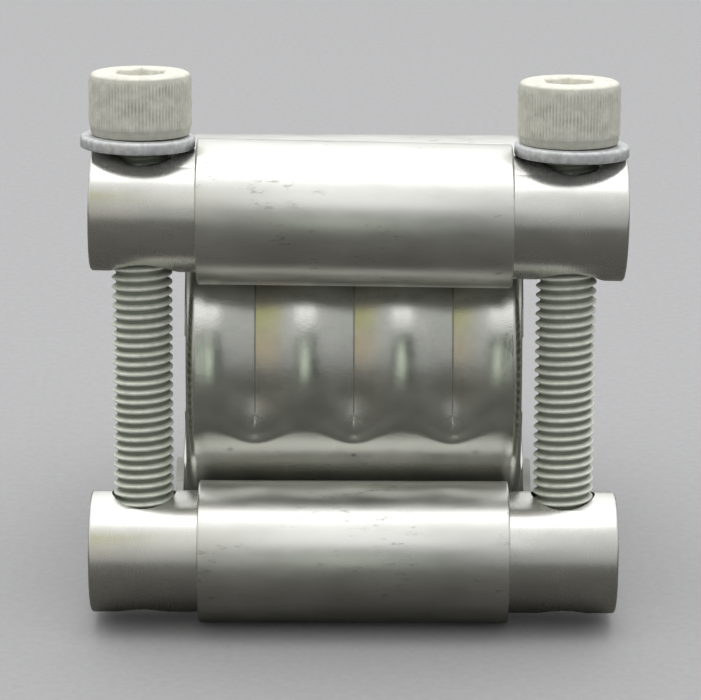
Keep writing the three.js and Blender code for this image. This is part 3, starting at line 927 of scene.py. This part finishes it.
def front_sides(tree, split):
    """Share of the dome's light left on each side of the lit strip in front of the coupling."""
    aside = tree.nodes.new("ShaderNodeMath")
    aside.operation = "ABSOLUTE"
    tree.links.new(split.outputs["X"], aside.inputs[0])
    dim = map_range(tree, aside.outputs["Value"], 0.10, 0.30, 0.0, 1.0 - FRONT_SIDE_SHARE)
    facing = map_range(tree, split.outputs["Y"], -0.55, -0.05, 1.0, 0.0)
    both = tree.nodes.new("ShaderNodeMath")
    both.operation = "MULTIPLY"
    tree.links.new(dim, both.inputs[0])
    tree.links.new(facing, both.inputs[1])
    left = tree.nodes.new("ShaderNodeMath")
    left.operation = "SUBTRACT"
    left.inputs[0].default_value = 1.0
    tree.links.new(both.outputs["Value"], left.inputs[1])
    return left.outputs["Value"]


def dome_levels(tree):
    """How bright the dome is from the horizon, at 0, up to straight overhead, at 1."""
    rise = tree.nodes.new("ShaderNodeValToRGB")
    for spot, (height, level) in enumerate(DOME_LEVELS):
        stop = rise.color_ramp.elements[spot] if spot < 2 else rise.color_ramp.elements.new(height)
        stop.position = height
        stop.color = (level * 0.985, level, level * 0.99, 1)
    return rise


def make_world():
    """A soft dome: dim at the horizon, bright overhead, and a little brighter behind the coupling."""
    world = bpy.data.worlds.new("studio")
    bpy.context.scene.world = world
    world.use_nodes = True
    tree = world.node_tree
    place = tree.nodes.new("ShaderNodeTexCoord")
    split = tree.nodes.new("ShaderNodeSeparateXYZ")
    tree.links.new(place.outputs["Generated"], split.inputs["Vector"])
    rise = dome_levels(tree)
    tree.links.new(split.outputs["Z"], rise.inputs["Fac"])
    behind = tree.nodes.new("ShaderNodeMapRange")
    behind.inputs["To Min"].default_value = DOME_STRENGTH
    behind.inputs["To Max"].default_value = DOME_STRENGTH * BEHIND_SHARE
    tree.links.new(split.outputs["Y"], behind.inputs["Value"])
    background = tree.nodes["Background"]
    tree.links.new(rise.outputs["Color"], background.inputs["Color"])
    level = tree.nodes.new("ShaderNodeMath")
    level.operation = "MULTIPLY"
    tree.links.new(behind.outputs["Result"], level.inputs[0])
    tree.links.new(front_sides(tree, split), level.inputs[1])
    tree.links.new(level.outputs["Value"], background.inputs["Strength"])


def reflected_card(name, color, azimuth_deg, rise_deg, width, height, away=0.46):
    """A card that only the metal's reflections see, facing the coupling."""
    azimuth, rise = math.radians(azimuth_deg), math.radians(rise_deg)
    level = math.cos(rise)
    toward = Vector((math.sin(azimuth) * level, -math.cos(azimuth) * level, math.sin(rise)))
    bm = bmesh.new()
    bmesh.ops.create_grid(bm, x_segments=4, y_segments=4, size=0.5)
    bmesh.ops.scale(bm, vec=(width, height, 1), verts=bm.verts)
    mesh = bpy.data.meshes.new(name)
    bm.to_mesh(mesh)
    bm.free()
    mesh.materials.append(card_material(name, color))
    card = bpy.data.objects.new(name, mesh)
    card.location = toward * away + Vector((0, 0, CARD_AIM_HEIGHT))
    card.rotation_euler = toward.to_track_quat("Z", "Y").to_euler()
    only_in_reflections(card)
    bpy.context.scene.collection.objects.link(card)


def make_cards():
    """The camera and its operator in front, windows behind them, and an olive wall to the left."""
    reflected_card("card_camera", (0.03, 0.03, 0.03), 1, 6, 0.21, 0.27)
    reflected_card("card_window", (1.25, 1.4, 1.2), -1, 6, 0.06, 0.15, away=0.44)
    reflected_card("card_window_left", (1.75, 1.75, 1.8), -8, 36, 0.07, 0.09)
    reflected_card("card_window_right", (1.75, 1.75, 1.8), 8, 36, 0.07, 0.09)
    reflected_card("card_olive", (0.60, 0.60, 0.30), -45, 31, 0.19, 0.19)
    reflected_card("card_wall", (0.62, 0.52, 0.37), -42, 10, 0.19, 0.12)


def make_lights():
    area_light("softbox_top", (0.0, 0.05, 0.9), (0, 0, 0), 0.8, 0.7, 2.4)


CAMERA_DISTANCE = 450.0
CAMERA_DROP_DEG = 12.3
CAMERA_ROLL_DEG = 0.2
CAMERA_LENS = 177.5
CAMERA_AIM = Vector((-0.45, 0.0, 4.6))


def make_camera():
    aim = Vector((CAMERA_AIM.x, BAR_UPPER.y, CAMERA_AIM.z))
    drop = math.radians(CAMERA_DROP_DEG)
    toward = Vector((0, -math.cos(drop), math.sin(drop)))
    eye = TO_ROW @ (aim + toward * CAMERA_DISTANCE)
    look = (TO_ROW @ aim) - eye
    camera = bpy.data.cameras.new("camera")
    camera.lens = CAMERA_LENS
    camera.sensor_width = 36
    camera.clip_start = 0.01
    made = bpy.data.objects.new("camera", camera)
    turn = look.to_track_quat("-Z", "Y").to_matrix().to_4x4()
    roll = Matrix.Rotation(math.radians(CAMERA_ROLL_DEG), 4, "Z")
    made.matrix_world = Matrix.Translation(eye) @ turn @ roll
    bpy.context.scene.collection.objects.link(made)
    bpy.context.scene.camera = made


def main():
    make_band()
    bar_steel = bar_material()
    make_bar("lock_bar_upper", BAR_UPPER, CLEARANCE_HOLE_R, "bar_upper", bar_steel, BAR_TILT_DEG)
    make_bar("lock_bar_lower", BAR_LOWER, TAPPED_HOLE_R, "bar_lower", bar_steel)
    screw_zinc, washer_zinc, ring_steel = screw_material(), washer_material(), ring_material()
    for label, side in (("left", -1), ("right", 1)):
        make_screw(label, screw_zinc)
        make_washer(label, washer_zinc)
        make_anchor_ring(side, f"anchor_ring_{label}", ring_steel)
    make_plate()
    make_sleeve()
    make_floor()
    make_world()
    make_lights()
    make_cards()
    make_camera()
    bpy.context.scene.view_settings.view_transform = "Standard"


main()
